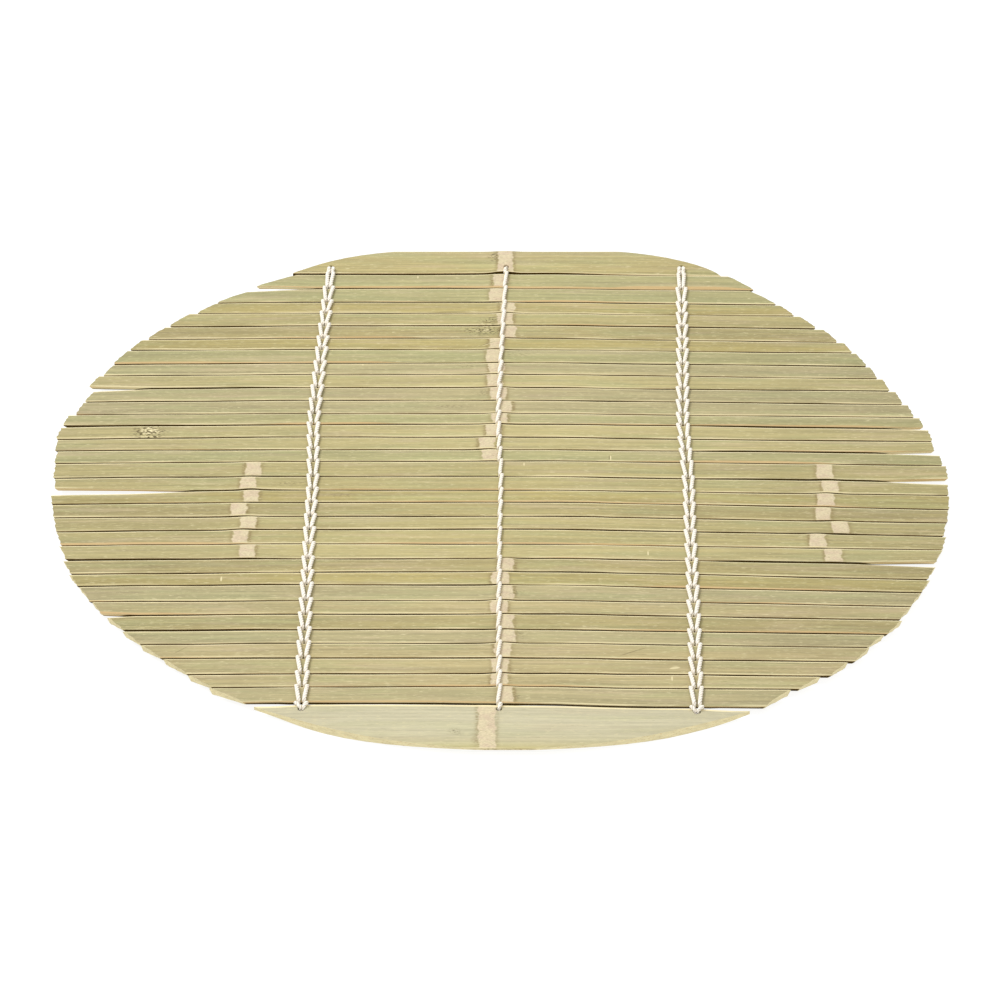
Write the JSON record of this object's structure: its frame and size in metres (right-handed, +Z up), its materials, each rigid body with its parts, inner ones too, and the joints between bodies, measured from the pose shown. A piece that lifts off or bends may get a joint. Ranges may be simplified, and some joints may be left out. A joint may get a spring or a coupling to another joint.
{
  "type": "bamboo steamer mat",
  "caption": "Round flat mat of narrow bamboo slats tied side by side with twined cotton cord between two wider end slabs; it lines a steamer and rolls up.",
  "frame": {"origin": "centre of the mat's outline, on the surface that it lies on", "axes": "+X along the slats, +Y from the near end slab to the far end slab, +Z up"},
  "size_m": [0.24, 0.2372, 0.0044],
  "materials": {
    "bamboo_skin": "straw to green-grey bamboo skin, fine lengthwise fibres, satin, pale sawn edges",
    "bamboo_inner_face": "pale planed inner bamboo face, matt, with faint fibre streaks",
    "cotton_cord": "off-white twisted cotton string, matt and slightly fuzzy"
  },
  "bodies": {
    "far_end_slab": {"far_end_slab": "bamboo_skin"},
    "slat_01": {"slat_01": "bamboo_skin"},
    "slat_02": {"slat_02": "bamboo_skin"},
    "slat_03": {"slat_03": "bamboo_skin"},
    "slat_04": {"slat_04": "bamboo_skin"},
    "slat_05": {"slat_05": "bamboo_skin"},
    "slat_06": {"slat_06": "bamboo_skin"},
    "slat_07": {"slat_07": "bamboo_skin"},
    "slat_08": {"slat_08": "bamboo_skin"},
    "slat_09": {"slat_09": "bamboo_skin"},
    "slat_10": {"slat_10": "bamboo_skin"},
    "slat_11": {"slat_11": "bamboo_skin"},
    "slat_12": {"slat_12": "bamboo_skin"},
    "slat_13": {"slat_13": "bamboo_skin"},
    "slat_14": {"slat_14": "bamboo_skin"},
    "slat_15": {"slat_15": "bamboo_skin"},
    "slat_16": {"slat_16": "bamboo_skin"},
    "slat_17": {"slat_17": "bamboo_skin", "cord_left_outer": "cotton_cord", "cord_left_inner": "cotton_cord", "cord_centre": "cotton_cord", "cord_right_inner": "cotton_cord", "cord_right_outer": "cotton_cord"},
    "slat_18": {"slat_18": "bamboo_skin"},
    "slat_19": {"slat_19": "bamboo_skin"},
    "slat_20": {"slat_20": "bamboo_skin"},
    "slat_21": {"slat_21": "bamboo_skin"},
    "slat_22": {"slat_22": "bamboo_skin"},
    "slat_23": {"slat_23": "bamboo_skin"},
    "slat_24": {"slat_24": "bamboo_skin"},
    "slat_25": {"slat_25": "bamboo_skin"},
    "slat_26": {"slat_26": "bamboo_skin"},
    "slat_27": {"slat_27": "bamboo_skin"},
    "slat_28": {"slat_28": "bamboo_skin"},
    "slat_29": {"slat_29": "bamboo_skin"},
    "slat_30": {"slat_30": "bamboo_skin"},
    "slat_31": {"slat_31": "bamboo_skin"},
    "slat_32": {"slat_32": "bamboo_skin"},
    "near_end_slab": {"near_end_slab": "bamboo_inner_face", "knot_left": "cotton_cord", "knot_centre": "cotton_cord", "knot_right": "cotton_cord"}
  },
  "joints": [
    {"name": "seam_00", "type": "hinge", "parent": "slat_01", "child": "far_end_slab", "pos_m": [0, 0.1059, 0.002], "axis": [1, 0, 0], "range_deg": [-9, 9], "deforming": ["cord_left_outer", "cord_left_inner", "cord_centre", "cord_right_inner", "cord_right_outer"]},
    {"name": "seam_01", "type": "hinge", "parent": "slat_02", "child": "slat_01", "pos_m": [0, 0.0982, 0.002], "axis": [1, 0, 0], "range_deg": [-9, 9], "deforming": ["cord_left_outer", "cord_left_inner", "cord_centre", "cord_right_inner", "cord_right_outer"]},
    {"name": "seam_02", "type": "hinge", "parent": "slat_03", "child": "slat_02", "pos_m": [0, 0.0907, 0.002], "axis": [1, 0, 0], "range_deg": [-9, 9], "deforming": ["cord_left_outer", "cord_left_inner", "cord_centre", "cord_right_inner", "cord_right_outer"]},
    {"name": "seam_03", "type": "hinge", "parent": "slat_04", "child": "slat_03", "pos_m": [0, 0.085, 0.002], "axis": [1, 0, 0], "range_deg": [-9, 9], "deforming": ["cord_left_outer", "cord_left_inner", "cord_centre", "cord_right_inner", "cord_right_outer"]},
    {"name": "seam_04", "type": "hinge", "parent": "slat_05", "child": "slat_04", "pos_m": [0, 0.0785, 0.002], "axis": [1, 0, 0], "range_deg": [-9, 9], "deforming": ["cord_left_outer", "cord_left_inner", "cord_centre", "cord_right_inner", "cord_right_outer"]},
    {"name": "seam_05", "type": "hinge", "parent": "slat_06", "child": "slat_05", "pos_m": [0, 0.0717, 0.002], "axis": [1, 0, 0], "range_deg": [-9, 9], "deforming": ["cord_left_outer", "cord_left_inner", "cord_centre", "cord_right_inner", "cord_right_outer"]},
    {"name": "seam_06", "type": "hinge", "parent": "slat_07", "child": "slat_06", "pos_m": [0, 0.066, 0.002], "axis": [1, 0, 0], "range_deg": [-9, 9], "deforming": ["cord_left_outer", "cord_left_inner", "cord_centre", "cord_right_inner", "cord_right_outer"]},
    {"name": "seam_07", "type": "hinge", "parent": "slat_08", "child": "slat_07", "pos_m": [0, 0.059, 0.002], "axis": [1, 0, 0], "range_deg": [-9, 9], "deforming": ["cord_left_outer", "cord_left_inner", "cord_centre", "cord_right_inner", "cord_right_outer"]},
    {"name": "seam_08", "type": "hinge", "parent": "slat_09", "child": "slat_08", "pos_m": [0, 0.0531, 0.002], "axis": [1, 0, 0], "range_deg": [-9, 9], "deforming": ["cord_left_outer", "cord_left_inner", "cord_centre", "cord_right_inner", "cord_right_outer"]},
    {"name": "seam_09", "type": "hinge", "parent": "slat_10", "child": "slat_09", "pos_m": [0, 0.0465, 0.002], "axis": [1, 0, 0], "range_deg": [-9, 9], "deforming": ["cord_left_outer", "cord_left_inner", "cord_centre", "cord_right_inner", "cord_right_outer"]},
    {"name": "seam_10", "type": "hinge", "parent": "slat_11", "child": "slat_10", "pos_m": [0, 0.0399, 0.002], "axis": [1, 0, 0], "range_deg": [-9, 9], "deforming": ["cord_left_outer", "cord_left_inner", "cord_centre", "cord_right_inner", "cord_right_outer"]},
    {"name": "seam_11", "type": "hinge", "parent": "slat_12", "child": "slat_11", "pos_m": [0, 0.0334, 0.002], "axis": [1, 0, 0], "range_deg": [-9, 9], "deforming": ["cord_left_outer", "cord_left_inner", "cord_centre", "cord_right_inner", "cord_right_outer"]},
    {"name": "seam_12", "type": "hinge", "parent": "slat_13", "child": "slat_12", "pos_m": [0, 0.0279, 0.002], "axis": [1, 0, 0], "range_deg": [-9, 9], "deforming": ["cord_left_outer", "cord_left_inner", "cord_centre", "cord_right_inner", "cord_right_outer"]},
    {"name": "seam_13", "type": "hinge", "parent": "slat_14", "child": "slat_13", "pos_m": [0, 0.0215, 0.002], "axis": [1, 0, 0], "range_deg": [-9, 9], "deforming": ["cord_left_outer", "cord_left_inner", "cord_centre", "cord_right_inner", "cord_right_outer"]},
    {"name": "seam_14", "type": "hinge", "parent": "slat_15", "child": "slat_14", "pos_m": [0, 0.0156, 0.002], "axis": [1, 0, 0], "range_deg": [-9, 9], "deforming": ["cord_left_outer", "cord_left_inner", "cord_centre", "cord_right_inner", "cord_right_outer"]},
    {"name": "seam_15", "type": "hinge", "parent": "slat_16", "child": "slat_15", "pos_m": [0, 0.0097, 0.002], "axis": [1, 0, 0], "range_deg": [-9, 9], "deforming": ["cord_left_outer", "cord_left_inner", "cord_centre", "cord_right_inner", "cord_right_outer"]},
    {"name": "seam_16", "type": "hinge", "parent": "slat_17", "child": "slat_16", "pos_m": [0, 0.0024, 0.002], "axis": [1, 0, 0], "range_deg": [-9, 9], "deforming": ["cord_left_outer", "cord_left_inner", "cord_centre", "cord_right_inner", "cord_right_outer"]},
    {"name": "seam_17", "type": "hinge", "parent": "slat_17", "child": "slat_18", "pos_m": [0, -0.0041, 0.002], "axis": [-1, 0, 0], "range_deg": [-9, 9], "deforming": ["cord_left_outer", "cord_left_inner", "cord_centre", "cord_right_inner", "cord_right_outer"]},
    {"name": "seam_18", "type": "hinge", "parent": "slat_18", "child": "slat_19", "pos_m": [0, -0.0101, 0.002], "axis": [-1, 0, 0], "range_deg": [-9, 9], "deforming": ["cord_left_outer", "cord_left_inner", "cord_centre", "cord_right_inner", "cord_right_outer"]},
    {"name": "seam_19", "type": "hinge", "parent": "slat_19", "child": "slat_20", "pos_m": [0, -0.0166, 0.002], "axis": [-1, 0, 0], "range_deg": [-9, 9], "deforming": ["cord_left_outer", "cord_left_inner", "cord_centre", "cord_right_inner", "cord_right_outer"]},
    {"name": "seam_20", "type": "hinge", "parent": "slat_20", "child": "slat_21", "pos_m": [0, -0.0228, 0.002], "axis": [-1, 0, 0], "range_deg": [-9, 9], "deforming": ["cord_left_outer", "cord_left_inner", "cord_centre", "cord_right_inner", "cord_right_outer"]},
    {"name": "seam_21", "type": "hinge", "parent": "slat_21", "child": "slat_22", "pos_m": [0, -0.0297, 0.002], "axis": [-1, 0, 0], "range_deg": [-9, 9], "deforming": ["cord_left_outer", "cord_left_inner", "cord_centre", "cord_right_inner", "cord_right_outer"]},
    {"name": "seam_22", "type": "hinge", "parent": "slat_22", "child": "slat_23", "pos_m": [0, -0.0363, 0.002], "axis": [-1, 0, 0], "range_deg": [-9, 9], "deforming": ["cord_left_outer", "cord_left_inner", "cord_centre", "cord_right_inner", "cord_right_outer"]},
    {"name": "seam_23", "type": "hinge", "parent": "slat_23", "child": "slat_24", "pos_m": [0, -0.0427, 0.002], "axis": [-1, 0, 0], "range_deg": [-9, 9], "deforming": ["cord_left_outer", "cord_left_inner", "cord_centre", "cord_right_inner", "cord_right_outer"]},
    {"name": "seam_24", "type": "hinge", "parent": "slat_24", "child": "slat_25", "pos_m": [0, -0.0484, 0.002], "axis": [-1, 0, 0], "range_deg": [-9, 9], "deforming": ["cord_left_outer", "cord_left_inner", "cord_centre", "cord_right_inner", "cord_right_outer"]},
    {"name": "seam_25", "type": "hinge", "parent": "slat_25", "child": "slat_26", "pos_m": [0, -0.0554, 0.002], "axis": [-1, 0, 0], "range_deg": [-9, 9], "deforming": ["cord_left_outer", "cord_left_inner", "cord_centre", "cord_right_inner", "cord_right_outer"]},
    {"name": "seam_26", "type": "hinge", "parent": "slat_26", "child": "slat_27", "pos_m": [0, -0.0617, 0.002], "axis": [-1, 0, 0], "range_deg": [-9, 9], "deforming": ["cord_left_outer", "cord_left_inner", "cord_centre", "cord_right_inner", "cord_right_outer"]},
    {"name": "seam_27", "type": "hinge", "parent": "slat_27", "child": "slat_28", "pos_m": [0, -0.0684, 0.002], "axis": [-1, 0, 0], "range_deg": [-9, 9], "deforming": ["cord_left_outer", "cord_left_inner", "cord_centre", "cord_right_inner", "cord_right_outer"]},
    {"name": "seam_28", "type": "hinge", "parent": "slat_28", "child": "slat_29", "pos_m": [0, -0.0746, 0.002], "axis": [-1, 0, 0], "range_deg": [-9, 9], "deforming": ["cord_left_outer", "cord_left_inner", "cord_centre", "cord_right_inner", "cord_right_outer"]},
    {"name": "seam_29", "type": "hinge", "parent": "slat_29", "child": "slat_30", "pos_m": [0, -0.081, 0.002], "axis": [-1, 0, 0], "range_deg": [-9, 9], "deforming": ["cord_left_outer", "cord_left_inner", "cord_centre", "cord_right_inner", "cord_right_outer"]},
    {"name": "seam_30", "type": "hinge", "parent": "slat_30", "child": "slat_31", "pos_m": [0, -0.0877, 0.002], "axis": [-1, 0, 0], "range_deg": [-9, 9], "deforming": ["cord_left_outer", "cord_left_inner", "cord_centre", "cord_right_inner", "cord_right_outer"]},
    {"name": "seam_31", "type": "hinge", "parent": "slat_31", "child": "slat_32", "pos_m": [0, -0.0937, 0.002], "axis": [-1, 0, 0], "range_deg": [-9, 9], "deforming": ["cord_left_outer", "cord_left_inner", "cord_centre", "cord_right_inner", "cord_right_outer"]},
    {"name": "seam_32", "type": "hinge", "parent": "slat_32", "child": "near_end_slab", "pos_m": [0, -0.1002, 0.002], "axis": [-1, 0, 0], "range_deg": [-9, 9], "deforming": ["cord_left_outer", "cord_left_inner", "cord_centre", "cord_right_inner", "cord_right_outer"]}
  ]
}
